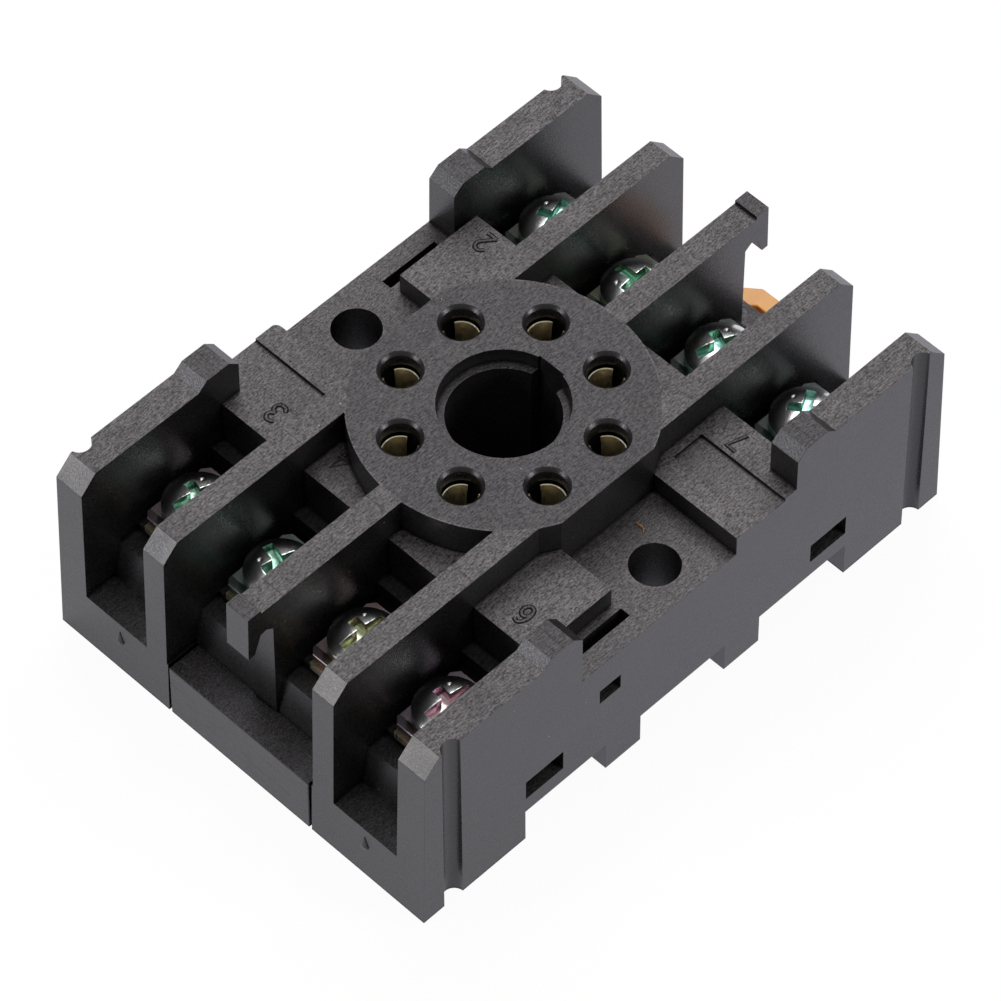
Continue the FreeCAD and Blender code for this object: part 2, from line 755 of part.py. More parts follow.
# Clamp plate with both ends lifted to lead the wire in, drawn about its screw
def makeClamp():
    lowZ, topZ = "clampLowZ", "clampLowZ + clampThick"
    right = [
        ("clampFlatHalfX", lowZ),
        ("clampHalfX", f"{lowZ} + clampRise"),
        ("clampHalfX", f"{topZ} + clampRise"),
        ("clampFlatHalfX", topZ),
    ]
    body = upright("Clamp", right + [(f"-{across}", up) for across, up in reversed(right)],
                   ("-clampHalfY", "clampHalfY"))
    doc.recompute()
    bevelUprights(body, "clampBevel")
    hole = sketchOn(body, "ClampHole", "XY_Plane", "stripLowZ")
    ring(hole, "clampHoleRadius")
    pocketUp(body, hole, "draftTopZ - stripLowZ")
    return body


# Clamp screw with a crowned head, drawn about its own axis
def makeScrew():
    rim = rod("HeadRim", "headRadius", "0", "0", ("headLowZ", "headRimZ"))
    crown = taper("HeadCrown", "headRadius", "crownRadius", "0", "0", ("headRimZ", "headCrownZ"))
    shank = rod("Shank", "shankRadius", "0", "0", ("shankLowZ", "headLowZ"))
    thin = ("-recessHalfWidth", "recessHalfWidth")
    deep = ("slotFloorZ", "headCrownZ + 1")
    slot = block("DriverSlot", ("-slotHalfLength", "slotHalfLength"), thin, deep)
    cross = block("DriverCross", thin, ("-crossHalfLength", "crossHalfLength"), deep)
    return cut("Screw", fuse("ScrewBlank", [rim, crown, shank]), [slot, cross])


# A named copy of a master, bound to its own place
def placed(name, source, x="0", y="0", turn=0):
    item = doc.addObject("Part::Compound", name)
    item.Links = [source]
    item.Placement.Rotation = FreeCAD.Rotation(FreeCAD.Vector(0, 0, 1), turn)
    bind(item, "Placement.Base.x", x)
    bind(item, "Placement.Base.y", y)
    return item


# Terminals in the order of the octal pins: side of X, side of Y, row and the screw's own angle
terminals = {
    1: ("", "", "centre", 62),
    2: ("", "", "outer", 18),
    3: ("-", "", "outer", 40),
    4: ("-", "", "centre", 75),
    5: ("-", "-", "centre", 12),
    6: ("-", "-", "outer", 55),
    7: ("", "-", "outer", 30),
    8: ("", "-", "centre", 85),
}


# The strips of the other three quarters are mirrored or turned from the quarter at +X +Y
def stripCopies(strip):
    return {"": strip, "-": mirrored(strip, "X"), "/-": mirrored(strip, "Y"), "-/-": turned(strip)}


def makeTerminals():
    strips = {"centre": stripCopies(centreStrip()), "outer": stripCopies(outerStrip())}
    rows = {"centre": "centreRowY", "outer": "outerRowY"}
    clamp = makeClamp()
    screw = makeScrew()
    made = {}
    for number, (sideX, sideY, row, angle) in terminals.items():
        strip = strips[row][sideX + ("/-" if sideY else "")]
        made[f"terminal_{number}"] = placed(f"terminal_{number}", strip)
        here = (sideX + "screwX", sideY + rows[row])
        made[f"clamp_plate_{number}"] = placed(f"clamp_plate_{number}", clamp, *here)
        made[f"screw_{number}"] = placed(f"screw_{number}", screw, *here, turn=angle)
    return made


parts = {"housing": makeHousing(), "base_plate": makeBase(), "rail_slider": makeSlider()}
parts.update(makeTerminals())
doc.recompute()

for item in doc.Objects:
    if "Invalid" in item.State or "Error" in item.State:
        raise RuntimeError(f"{item.Name} did not recompute: {item.State}")

os.makedirs("parts", exist_ok=True)
for name, item in parts.items():
    item.Label = name
    shape = item.Shape
    if shape.isNull() or not shape.isValid() or len(shape.Solids) != 1:
        raise RuntimeError(f"{name} is not one valid solid: {len(shape.Solids)} solids")
    shape.Solids[0].exportStep(f"parts/{name}.step")
    print(name, round(shape.Volume, 1), shape.BoundBox)
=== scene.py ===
import json
import math

import bmesh
import bpy
from mathutils import Matrix, Vector

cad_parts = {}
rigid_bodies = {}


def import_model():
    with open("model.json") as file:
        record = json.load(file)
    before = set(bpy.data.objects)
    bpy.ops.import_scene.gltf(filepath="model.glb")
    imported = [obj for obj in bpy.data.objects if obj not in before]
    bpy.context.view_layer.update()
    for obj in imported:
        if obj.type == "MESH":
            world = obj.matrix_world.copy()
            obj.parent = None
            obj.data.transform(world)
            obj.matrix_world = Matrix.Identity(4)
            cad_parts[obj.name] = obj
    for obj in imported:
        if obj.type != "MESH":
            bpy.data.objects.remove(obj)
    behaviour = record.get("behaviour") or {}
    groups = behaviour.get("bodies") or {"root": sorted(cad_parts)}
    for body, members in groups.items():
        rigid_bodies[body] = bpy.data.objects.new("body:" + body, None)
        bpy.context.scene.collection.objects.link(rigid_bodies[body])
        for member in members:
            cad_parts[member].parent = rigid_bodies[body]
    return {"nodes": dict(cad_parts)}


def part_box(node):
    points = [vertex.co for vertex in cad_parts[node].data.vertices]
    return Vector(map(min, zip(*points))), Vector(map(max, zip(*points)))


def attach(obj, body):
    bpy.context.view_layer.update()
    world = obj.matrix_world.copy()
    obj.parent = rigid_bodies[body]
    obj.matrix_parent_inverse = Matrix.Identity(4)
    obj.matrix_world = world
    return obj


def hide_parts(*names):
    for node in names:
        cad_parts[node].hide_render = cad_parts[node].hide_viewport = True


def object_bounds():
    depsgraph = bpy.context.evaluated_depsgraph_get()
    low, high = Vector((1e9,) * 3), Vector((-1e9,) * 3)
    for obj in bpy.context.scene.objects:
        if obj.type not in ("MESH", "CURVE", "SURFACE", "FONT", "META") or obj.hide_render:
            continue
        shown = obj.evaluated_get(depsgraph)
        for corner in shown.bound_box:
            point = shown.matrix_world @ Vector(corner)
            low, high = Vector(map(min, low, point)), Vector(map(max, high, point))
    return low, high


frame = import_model()
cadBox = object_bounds()
nodes = frame["nodes"]
things = bpy.context.scene.collection.objects
mm = 0.001
platformZ = 16.75 * mm


# Camera, studio and floor

# The camera's place comes from a fit of the pin circle and the body's corners to the photograph
cameraSpec = {
    "azimuth": -45.38,
    "elevation": 53.05,
    "roll": 0.25,
    "distance": 513.66 * mm,
    "across": -0.21 * mm,
    "up": 4.49 * mm,
    "focalPixels": 6392.9,
    "framePixels": 1001,
    "sensor": 36,
    "clip": (0.01, 20),
}


def makeCamera(spec):
    azimuth, elevation, roll = (math.radians(spec[key]) for key in ("azimuth", "elevation", "roll"))
    back = Vector((math.sin(azimuth) * math.cos(elevation), -math.cos(azimuth) * math.cos(elevation),
                   math.sin(elevation)))
    flat = Vector((math.cos(azimuth), math.sin(azimuth), 0))
    steep = back.cross(flat)
    right = flat * math.cos(roll) + steep * math.sin(roll)
    up = steep * math.cos(roll) - flat * math.sin(roll)
    eye = back * spec["distance"] + right * spec["across"] + up * spec["up"]
    data = bpy.data.cameras.new("camera")
    data.sensor_width = spec["sensor"]
    data.lens = spec["focalPixels"] * spec["sensor"] / spec["framePixels"]
    data.clip_start, data.clip_end = spec["clip"]
    camera = bpy.data.objects.new("camera", data)
    camera.matrix_world = Matrix.Translation(eye) @ Matrix((right, up, back)).transposed().to_4x4()
    things.link(camera)
    bpy.context.scene.camera = camera


# The sky is a tent that brightens overhead. One softbox hangs behind the socket and shines off
# its flat tops, and two smaller ones stand at its sides.
studioSpec = {
    "tentLow": 0.12,
    "tentHigh": 0.8,
    "floorReach": 3.0,
    "floorRoughness": 0.9,
    "floorColour": (0.93, 0.93, 0.93, 1.0),
    "floorGlow": 0.95,  # share of plain white in what the camera sees
    # painted reflection: glossy surfaces see the floor glowing a little blue, and darker on the left
    "glowSpan": (-55 * mm, 30 * mm),
    "glowLeast": 0.52,
    "glowTint": (0.95, 0.93, 1.0, 1),
    # name: place, size, power
    "softboxes": {
        "backSoftbox": ((0.40, 0.40, 0.76), 0.6, 6.4),
        "leftSoftbox": ((-0.72, 0.38, 0.40), 0.26, 2.15),
        "rightSoftbox": ((0.38, -0.72, 0.40), 0.26, 2.6),
    },
}


def makeStudio(spec):
    world = bpy.data.worlds.new("studio")
    world.use_nodes = True
    bpy.context.scene.world = world
    tree = world.node_tree
    sky = tree.nodes["Background"]
    sky.inputs["Color"].default_value = (1, 1, 1, 1)
    toward = split(tree, addNode(tree, "ShaderNodeTexCoord").outputs["Generated"])
    height = calc(tree, "MAXIMUM", toward["Z"], 0.0)
    low = spec["tentLow"]
    tent = calc(tree, "MULTIPLY_ADD", calc(tree, "POWER", height, 2.0), spec["tentHigh"] - low, low)
    sight = addNode(tree, "ShaderNodeLightPath").outputs["Is Camera Ray"]
    feed(tree, sky.inputs["Strength"], calc(tree, "MAXIMUM", tent, sight))
    for name, (place, size, power) in spec["softboxes"].items():
        data = bpy.data.lights.new(name, "AREA")
        data.size = size
        data.energy = power
        lamp = bpy.data.objects.new(name, data)
        lamp.location = place
        lamp.rotation_euler = (-Vector(place)).to_track_quat("-Z", "Y").to_euler()
        things.link(lamp)
    bpy.context.scene.view_settings.view_transform = "Standard"


def makeFloor(spec):
    reach = spec["floorReach"]
    low = cadBox[0][2]
    mesh = bpy.data.meshes.new("floor")
    corners = [(-reach, -reach, low), (reach, -reach, low), (reach, reach, low), (-reach, reach, low)]
    mesh.from_pydata(corners, [], [(0, 1, 2, 3)])
    floor = bpy.data.objects.new("floor", mesh)
    things.link(floor)
    material, tree, shader = newMaterial("floorPaper", Base_Color=spec["floorColour"],
                                         Roughness=spec["floorRoughness"])
    glow = addNode(tree, "ShaderNodeEmission")
    blend = addNode(tree, "ShaderNodeMixShader")
    # Painted reflection: for glossy rays the floor glows, dimmer toward the left and tinted a little blue
    x, y = split(tree, objectPlace(tree))[:2]
    rightward = times(tree, calc(tree, "SUBTRACT", x, y), math.sqrt(0.5))
    least = spec["glowLeast"]
    mirrored = calc(tree, "MULTIPLY_ADD", ramp(tree, rightward, *spec["glowSpan"]), 1 - least, least)
    path = addNode(tree, "ShaderNodeLightPath").outputs
    mirrored = times(tree, mirrored, path["Is Glossy Ray"])
    tint = mixColour(tree, path["Is Camera Ray"], spec["glowTint"], (1, 1, 1, 1))
    tree.links.new(tint, glow.inputs["Color"])
    seen = times(tree, path["Is Camera Ray"], spec["floorGlow"])
    share = calc(tree, "MAXIMUM", seen, mirrored)
    tree.links.new(share, blend.inputs[0])
    tree.links.new(shader.outputs[0], blend.inputs[1])
    tree.links.new(glow.outputs[0], blend.inputs[2])
    tree.links.new(blend.outputs[0], tree.nodes["Material Output"].inputs["Surface"])
    mesh.materials.append(material)


# Material helpers


def newMaterial(name, **constants):
    material = bpy.data.materials.new(name)
    material.use_nodes = True
    shader = material.node_tree.nodes["Principled BSDF"]
    for key, value in constants.items():
        shader.inputs[key.replace("_", " ")].default_value = value
    return material, material.node_tree, shader


def addNode(tree, kind, **settings):
    node = tree.nodes.new(kind)
    for key, value in settings.items():
        if key in node.inputs.keys():
            node.inputs[key].default_value = value
        else:
            setattr(node, key, value)
    return node


def feed(tree, socket, value):
    if isinstance(value, bpy.types.NodeSocket):
        tree.links.new(value, socket)
    else:
        socket.default_value = value


def calc(tree, operation, first, second=0.0, third=0.0):
    node = addNode(tree, "ShaderNodeMath", operation=operation)
    for number, value in enumerate((first, second, third)):
        feed(tree, node.inputs[number], value)
    return node.outputs[0]


def times(tree, first, second):
    return calc(tree, "MULTIPLY", first, second)


def plus(tree, first, second):
    return calc(tree, "ADD", first, second)


def mixColour(tree, factor, first, second):
    node = addNode(tree, "ShaderNodeMix", data_type="RGBA")
    for number, value in ((0, factor), (6, first), (7, second)):
        feed(tree, node.inputs[number], value)
    return node.outputs[2]


# Rises from 0 to 1 while the value goes from low to high, which may lie below low
def ramp(tree, value, low, high):
    node = addNode(tree, "ShaderNodeMapRange")
    feed(tree, node.inputs["Value"], value)
    feed(tree, node.inputs["From Min"], low)
    feed(tree, node.inputs["From Max"], high)
    return node.outputs["Result"]


def split(tree, vector):
    node = addNode(tree, "ShaderNodeSeparateXYZ")
    tree.links.new(vector, node.inputs[0])
    return node.outputs


def objectPlace(tree):
    return addNode(tree, "ShaderNodeTexCoord").outputs["Object"]


def bumpInto(tree, shader, height, spec):
    bump = addNode(tree, "ShaderNodeBump", Strength=spec["bumpStrength"], Distance=spec["bumpDepth"])
    tree.links.new(height, bump.inputs["Height"])
    tree.links.new(bump.outputs["Normal"], shader.inputs["Normal"])


# Surface effects that several materials share. Lengths are in metres.


def newGroup(name, inputs, output):
    tree = bpy.data.node_groups.new(name, "ShaderNodeTree")
    for label, (kind, value) in inputs.items():
        socket = tree.interface.new_socket(label, in_out="INPUT", socket_type=kind)
        if value is not None:
            socket.default_value = value
    tree.interface.new_socket(output, in_out="OUTPUT", socket_type="NodeSocketFloat")
    entry = tree.nodes.new("NodeGroupInput")
    leave = tree.nodes.new("NodeGroupOutput")
    return tree, entry.outputs, leave.inputs[0]


def useGroup(tree, group, **settings):
    node = addNode(tree, "ShaderNodeGroup", node_tree=group)
    for key, value in settings.items():
        feed(tree, node.inputs[key], value)
    return node.outputs[0]


# Mottling or streaks: cells of the given length on each axis, cut between two levels
def makeGrain():
    tree, given, mask = newGroup("mouldGrain", {
        "Place": ("NodeSocketVector", None),
        "Length": ("NodeSocketVector", (0.001, 0.001, 0.001)),
        "Detail": ("NodeSocketFloat", 2.0),
        "Low": ("NodeSocketFloat", 0.3),
        "High": ("NodeSocketFloat", 0.7),
    }, "Mask")
    scaled = addNode(tree, "ShaderNodeVectorMath", operation="DIVIDE")
    tree.links.new(given["Place"], scaled.inputs[0])
    tree.links.new(given["Length"], scaled.inputs[1])
    texture = addNode(tree, "ShaderNodeTexNoise", Scale=1.0, Roughness=0.6)
    tree.links.new(scaled.outputs[0], texture.inputs["Vector"])
    tree.links.new(given["Detail"], texture.inputs["Detail"])
    tree.links.new(ramp(tree, texture.outputs["Fac"], given["Low"], given["High"]), mask)
    return tree


# Pale round specks of dust, in some of the cells that the surface is divided into
def makeSpecks():
    tree, given, mask = newGroup("dustSpecks", {
        "Place": ("NodeSocketVector", None),
        "Spacing": ("NodeSocketFloat", 0.001),
        "Radius": ("NodeSocketFloat", 0.00005),
        "Share": ("NodeSocketFloat", 0.3),
    }, "Mask")
    scaled = addNode(tree, "ShaderNodeVectorMath", operation="SCALE")
    tree.links.new(given["Place"], scaled.inputs[0])
    tree.links.new(calc(tree, "DIVIDE", 1.0, given["Spacing"]), scaled.inputs["Scale"])
    cells = addNode(tree, "ShaderNodeTexVoronoi", Scale=1.0)
    tree.links.new(scaled.outputs[0], cells.inputs["Vector"])
    away = times(tree, cells.outputs["Distance"], given["Spacing"])
    inside = ramp(tree, away, given["Radius"], times(tree, given["Radius"], 0.4))
    chosen = calc(tree, "LESS_THAN", split(tree, cells.outputs["Color"])[0], given["Share"])
    tree.links.new(times(tree, inside, chosen), mask)
    return tree


# Black plastic: streaked along the long side and mottled on its tops; the tops are painted lighter and the
# upright faces darker, as painted light and shade

blackSpec = {
    # tops mix pit and grain, upright faces mix side and cloud; the pale tops against near-black uprights are
    # painted light and shade
    "pit": (0.008, 0.0075, 0.0075, 1),
    "grain": (0.15, 0.135, 0.135, 1),
    "side": (0.008, 0.008, 0.008, 1),
    "cloud": (0.019, 0.019, 0.018, 1),
    "sheen": (0.945, 0.925, 1.0, 1),
    # painted light: a pale olive tone on the bevels at the wall ends that face -X and upward
    "olive": (0.12, 0.115, 0.095, 1),
    "oliveX": 25.5 * mm,
    "oliveFacing": ((-0.5, -0.65), (0.5, 0.65)),
    "oliveMottle": 0.3,
    "oliveCloud": 0.9,
    "streaks": {"Length": (0.5 * mm, 0.12 * mm, 0.3 * mm), "Detail": 4.0, "Low": 0.4, "High": 0.66},
    "mottles": {"Length": (0.16 * mm, 0.16 * mm, 0.16 * mm), "Detail": 4.0, "Low": 0.38, "High": 0.66},
    "clouds": {"Length": (4 * mm, 4 * mm, 4 * mm), "Detail": 3.0},
    "dustColour": (0.50, 0.49, 0.47, 1),
    "dust": {"Spacing": 1.3 * mm, "Radius": 0.06 * mm, "Share": 0.26},
    "topRoughness": 0.42,
    "sideRoughness": 0.26,
    "bumpDepth": 0.022 * mm,
    "bumpStrength": 0.7,
    "sideBump": 0.25,
    "mottleRoughness": 0.1,
    "dustRoughness": 0.4,
    "shineContrast": 0.6,
    # a face counts as a top between these heights of its normal
    "topFacing": (0.8, 0.95),
    # painted shade: colour and shine go black at the foot of walls and in corners
    "footReach": 0.5 * mm,
    "footSamples": 8,
    "footSpan": (0.45, 0.8),
    "paintedFootShade": (0.0015, 0.0015, 0.0015, 1),
    # how much of the pale grain shows: least deep in the channels and on the tower, as painted shade; more
    # on the platforms, as painted light; and little on ears and hooks
    "share": 1.0,
    "patchSpan": (0.75, 1.25),
    "towerRadius": 12.3 * mm,
    "towerShadeShare": 0.5,
    # height of a level, half of its span, share there
    "levels": [(7 * mm, 7 * mm, 0.2), (platformZ, 0.3 * mm, 1.2), (20.8 * mm, 0.5 * mm, 0.5)],
    # fine lines where slides of the mould met: across the wall tops and the centre wall
    "lineColour": (0.002, 0.002, 0.002, 1),
    "lineShare": 0.85,
    "seamX": 13.87 * mm,
    "seamHalf": 0.035 * mm,
    "seamLowZ": 19.9 * mm,
    "centreX": 25.0 * mm,
    "centreHalf": 1.3 * mm,
    # and round the hooks
    "partingZ": 18.4 * mm,
    "partingX": 27.3 * mm,
    "partingHalf": 0.05 * mm,
    "scratches": None,
    "scratchRoughness": 0.0,
}

# The base plate is darker and finely scratched along its ends
basePlateSpec = {
    **blackSpec,
    "share": 0.3,
    "levels": [],
    "topRoughness": 0.22,
    "scratches": {"Length": (0.06 * mm, 4 * mm, 0.06 * mm), "Detail": 2.0, "Low": 0.62, "High": 0.7},
    "scratchRoughness": 0.25,
}


def grainShareWithPaintedShade(tree, spec, x, y, z, cloud):
    # Painted shade and light: the grain is dimmed near the tower and deep in the channels, and brightened on
    # the platforms
    away = calc(tree, "SQRT", plus(tree, calc(tree, "POWER", x, 2.0), calc(tree, "POWER", y, 2.0)))
    onTower = calc(tree, "LESS_THAN", away, spec["towerRadius"])
    share = calc(tree, "MULTIPLY_ADD", onTower, spec["towerShadeShare"] - 1, 1.0)
    for level, half, amount in spec["levels"]:
        here = calc(tree, "COMPARE", z, level, half)
        share = times(tree, share, calc(tree, "MULTIPLY_ADD", here, amount - 1, 1.0))
    low, high = (spec["share"] * part for part in spec["patchSpan"])
    return times(tree, share, calc(tree, "MULTIPLY_ADD", cloud, high - low, low))


def mouldLines(tree, spec, x, y, z):
    along = calc(tree, "ABSOLUTE", x)
    onCentre = calc(tree, "LESS_THAN", calc(tree, "ABSOLUTE", y), spec["centreHalf"])
    centre = times(tree, calc(tree, "COMPARE", x, -spec["centreX"], spec["seamHalf"]), onCentre)
    seam = calc(tree, "MAXIMUM", centre, calc(tree, "COMPARE", along, spec["seamX"], spec["seamHalf"]))
    seam = times(tree, seam, calc(tree, "GREATER_THAN", z, spec["seamLowZ"]))
    onHook = calc(tree, "GREATER_THAN", along, spec["partingX"])
    parting = times(tree, calc(tree, "COMPARE", z, spec["partingZ"], spec["partingHalf"]), onHook)
    return calc(tree, "MAXIMUM", seam, parting)


def paintedOlivePatch(tree, spec, facing, x, mottle, cloud):
    outward, upward = spec["oliveFacing"]
    leans = times(tree, ramp(tree, facing["X"], *outward), ramp(tree, facing["Z"], *upward))
    atEnd = calc(tree, "GREATER_THAN", calc(tree, "ABSOLUTE", x), spec["oliveX"])
    uneven = calc(tree, "MULTIPLY_ADD", mottle, spec["oliveMottle"], times(tree, cloud, spec["oliveCloud"]))
    return times(tree, times(tree, leans, atEnd), uneven)


def blackPlastic(name, spec, grain, specks):
    material, tree, shader = newMaterial(name, Specular_Tint=spec["sheen"])
    place = objectPlace(tree)
    x, y, z = split(tree, place)
    facing = split(tree, addNode(tree, "ShaderNodeNewGeometry").outputs["True Normal"])
    isTop = ramp(tree, facing["Z"], *spec["topFacing"])
    streak = useGroup(tree, grain, Place=place, **spec["streaks"])
    mottle = useGroup(tree, grain, Place=place, **spec["mottles"])
    cloud = useGroup(tree, grain, Place=place, **spec["clouds"])
    dust = useGroup(tree, specks, Place=place, **spec["dust"])
    line = mouldLines(tree, spec, x, y, z)
    both = plus(tree, streak, mottle)
    speckled = times(tree, both, 0.5)

    pale = times(tree, speckled, grainShareWithPaintedShade(tree, spec, x, y, z, cloud))
    top = mixColour(tree, pale, spec["pit"], spec["grain"])
    side = mixColour(tree, times(tree, mottle, cloud), spec["side"], spec["cloud"])
    # The streaks and mottles are the plastic's grain; that the tops take them pale while upright faces stay
    # near black is painted light and shade
    colour = mixColour(tree, isTop, side, top)
    # Painted light: a pale olive tone on the end bevels that lean toward -X and upward
    patch = paintedOlivePatch(tree, spec, facing, x, mottle, cloud)
    colour = mixColour(tree, patch, colour, spec["olive"])
    colour = mixColour(tree, times(tree, line, spec["lineShare"]), colour, spec["lineColour"])
    colour = mixColour(tree, dust, colour, spec["dustColour"])
    # Painted shade: an occlusion mask darkens the colour and the shine in corners and at the foot of walls
    shade = addNode(tree, "ShaderNodeAmbientOcclusion", samples=spec["footSamples"],
                    Distance=spec["footReach"])
    openness = ramp(tree, shade.outputs["AO"], *spec["footSpan"])
    tree.links.new(mixColour(tree, openness, spec["paintedFootShade"], colour), shader.inputs["Base Color"])

    # On the tops the pale grain shines most
    contrast = times(tree, calc(tree, "SUBTRACT", speckled, 0.5), spec["shineContrast"])
    shine = calc(tree, "MULTIPLY_ADD", contrast, isTop, 0.5)
    tree.links.new(times(tree, openness, shine), shader.inputs["Specular IOR Level"])

    rough = times(tree, isTop, spec["topRoughness"] - spec["sideRoughness"])
    rough = plus(tree, rough, spec["sideRoughness"])
    rough = plus(tree, rough, times(tree, mottle, spec["mottleRoughness"]))
    rough = plus(tree, rough, times(tree, dust, spec["dustRoughness"]))
    height = calc(tree, "MULTIPLY_ADD", mottle, spec["sideBump"], times(tree, both, isTop))
    if spec["scratches"]:
        hair = useGroup(tree, grain, Place=place, **spec["scratches"])
        rough = plus(tree, rough, times(tree, hair, spec["scratchRoughness"]))
        height = calc(tree, "SUBTRACT", height, hair)
    tree.links.new(rough, shader.inputs["Roughness"])
    bumpInto(tree, shader, calc(tree, "SUBTRACT", height, line), spec)
    return material


# Orange plastic of the latch

orangeSpec = {
    "colour": (0.60, 0.25, 0.016, 1),
    "shade": (0.52, 0.20, 0.008, 1),
    "dustColour": (0.9, 0.8, 0.65, 1),
    "roughness": 0.38,
    "lightThrough": 0.08,
    "lightReach": (2 * mm, 0.8 * mm, 0.3 * mm),
    "clouds": {"Length": (2 * mm, 2 * mm, 2 * mm), "Detail": 3.0},
    "dust": {"Spacing": 1.2 * mm, "Radius": 0.06 * mm, "Share": 0.2},
    "ripples": {"Length": (0.2 * mm, 0.2 * mm, 0.2 * mm), "Detail": 3.0},
    "bumpDepth": 0.01 * mm,
    "bumpStrength": 0.5,
}


def orangePlastic(name, spec, grain, specks):
    material, tree, shader = newMaterial(name, Roughness=spec["roughness"],
                                         Subsurface_Weight=spec["lightThrough"],
                                         Subsurface_Radius=spec["lightReach"])
    place = objectPlace(tree)
    cloud = useGroup(tree, grain, Place=place, **spec["clouds"])
    dust = useGroup(tree, specks, Place=place, **spec["dust"])
    colour = mixColour(tree, cloud, spec["colour"], spec["shade"])
    tree.links.new(mixColour(tree, dust, colour, spec["dustColour"]), shader.inputs["Base Color"])
    bumpInto(tree, shader, useGroup(tree, grain, Place=place, **spec["ripples"]), spec)
    return material


# Zinc plate under a thin passivation film, which on the screws colours only the recess

zincSpec = {
    "plain": (0.66, 0.67, 0.66, 1),
    "roughness": 0.2,
    "scuffRoughness": 0.06,
    "bumpDepth": 0.002 * mm,
    "bumpStrength": 0.5,
    "scuffs": {"Length": (0.4 * mm, 0.4 * mm, 0.4 * mm), "Detail": 3.0},
    # the film drifts in patches, and turns from the walls' colour to the floor's over a height
    "drift": {"Length": (1.4 * mm, 1.4 * mm, 0.7 * mm), "Detail": 2.0},
    "driftShare": 0.35,
    "filmRise": 0.6 * mm,
    # the recess is known by its steep walls and by its floor
    "steep": (0.35, 0.1),
    "floorRise": 0.3 * mm,
    "plateZ": 11.2 * mm,
    # for each terminal: the walls and the floor of the screw's recess
    "recessFilm": {
        1: ((0.62, 0.64, 0.54, 1), (0.32, 0.58, 0.48, 1)),
        2: ((0.50, 0.62, 0.58, 1), (0.34, 0.56, 0.50, 1)),
        3: ((0.42, 0.55, 0.49, 1), (0.37, 0.54, 0.44, 1)),
        4: ((0.58, 0.66, 0.64, 1), (0.34, 0.58, 0.46, 1)),
        5: ((0.58, 0.50, 0.48, 1), (0.50, 0.56, 0.38, 1)),
        6: ((0.60, 0.46, 0.58, 1), (0.62, 0.50, 0.50, 1)),
        7: ((0.50, 0.62, 0.58, 1), (0.34, 0.56, 0.50, 1)),
        8: ((0.50, 0.60, 0.46, 1), (0.32, 0.58, 0.54, 1)),
    },
    "plateFilm": {
        1: (0.62, 0.66, 0.50, 1),
        2: (0.60, 0.66, 0.58, 1),
        3: (0.66, 0.54, 0.56, 1),
        4: (0.54, 0.64, 0.58, 1),
        5: (0.66, 0.52, 0.52, 1),
        6: (0.62, 0.54, 0.60, 1),
        7: (0.58, 0.64, 0.62, 1),
        8: (0.58, 0.66, 0.60, 1),
    },
}


def zincPlate(name, spec, walls, floor, floorZ, grain, recessOnly):
    material, tree, shader = newMaterial(name, Metallic=1.0)
    place = objectPlace(tree)
    z = split(tree, place)["Z"]
    drift = useGroup(tree, grain, Place=place, **spec["drift"])
    film = mixColour(tree, ramp(tree, z, floorZ + spec["filmRise"], floorZ), walls, floor)
    film = mixColour(tree, times(tree, drift, spec["driftShare"]), film, floor)
    if recessOnly:
        facing = split(tree, addNode(tree, "ShaderNodeNewGeometry").outputs["True Normal"])["Z"]
        atFloor = ramp(tree, z, floorZ + spec["floorRise"], floorZ)
        recess = calc(tree, "MAXIMUM", ramp(tree, facing, *spec["steep"]), atFloor)
        film = mixColour(tree, recess, spec["plain"], film)
    tree.links.new(film, shader.inputs["Base Color"])
    scuff = useGroup(tree, grain, Place=place, **spec["scuffs"])
    rough = plus(tree, times(tree, scuff, spec["scuffRoughness"]), spec["roughness"])
    tree.links.new(rough, shader.inputs["Roughness"])
    bumpInto(tree, shader, scuff, spec)
    return material


# Brass of the strips and their clip leaves

brassSpec = {
    "colour": (0.94, 0.87, 0.66, 1),
    "dull": (0.74, 0.62, 0.40, 1),
    "roughness": 0.26,
    "drawnRoughness": 0.15,
    "bumpDepth": 0.008 * mm,
    "bumpStrength": 0.4,
    "clouds": {"Length": (1.2 * mm, 1.2 * mm, 1.2 * mm), "Detail": 4.0, "Low": 0.4, "High": 0.75},
    "drawn": {"Length": (0.15 * mm, 0.15 * mm, 0.6 * mm), "Detail": 3.0},
    # painted shade: the strips are painted near black in the channels, behind their bright ends
    "channelShade": (0.035, 0.03, 0.022, 1),
    "channelShadeX": 22.3 * mm,
    "channelShadeZ": 12 * mm,
}


def paleBrass(name, spec, grain):
    material, tree, shader = newMaterial(name, Metallic=1.0)
    place = objectPlace(tree)
    parts = split(tree, place)
    # Painted shade: brass deep in the channels turns near black
    behind = calc(tree, "LESS_THAN", calc(tree, "ABSOLUTE", parts["X"]), spec["channelShadeX"])
    dark = times(tree, behind, calc(tree, "LESS_THAN", parts["Z"], spec["channelShadeZ"]))
    cloud = useGroup(tree, grain, Place=place, **spec["clouds"])
    colour = mixColour(tree, cloud, spec["colour"], spec["dull"])
    tree.links.new(mixColour(tree, dark, colour, spec["channelShade"]), shader.inputs["Base Color"])
    drawn = useGroup(tree, grain, Place=place, **spec["drawn"])
    rough = plus(tree, times(tree, drawn, spec["drawnRoughness"]), spec["roughness"])
    tree.links.new(rough, shader.inputs["Roughness"])
    bumpInto(tree, shader, drawn, spec)
    return material


# Painted shadow: a dark line where a raised number meets its platform

shadowSpec = {
    "dark": (0.005, 0.005, 0.005, 1),
    "pale": (0.014, 0.013, 0.013, 1),
    "roughness": 0.9,
    "shine": 0.1,
    "mottles": {"Length": (0.2 * mm, 0.2 * mm, 0.2 * mm)},
}


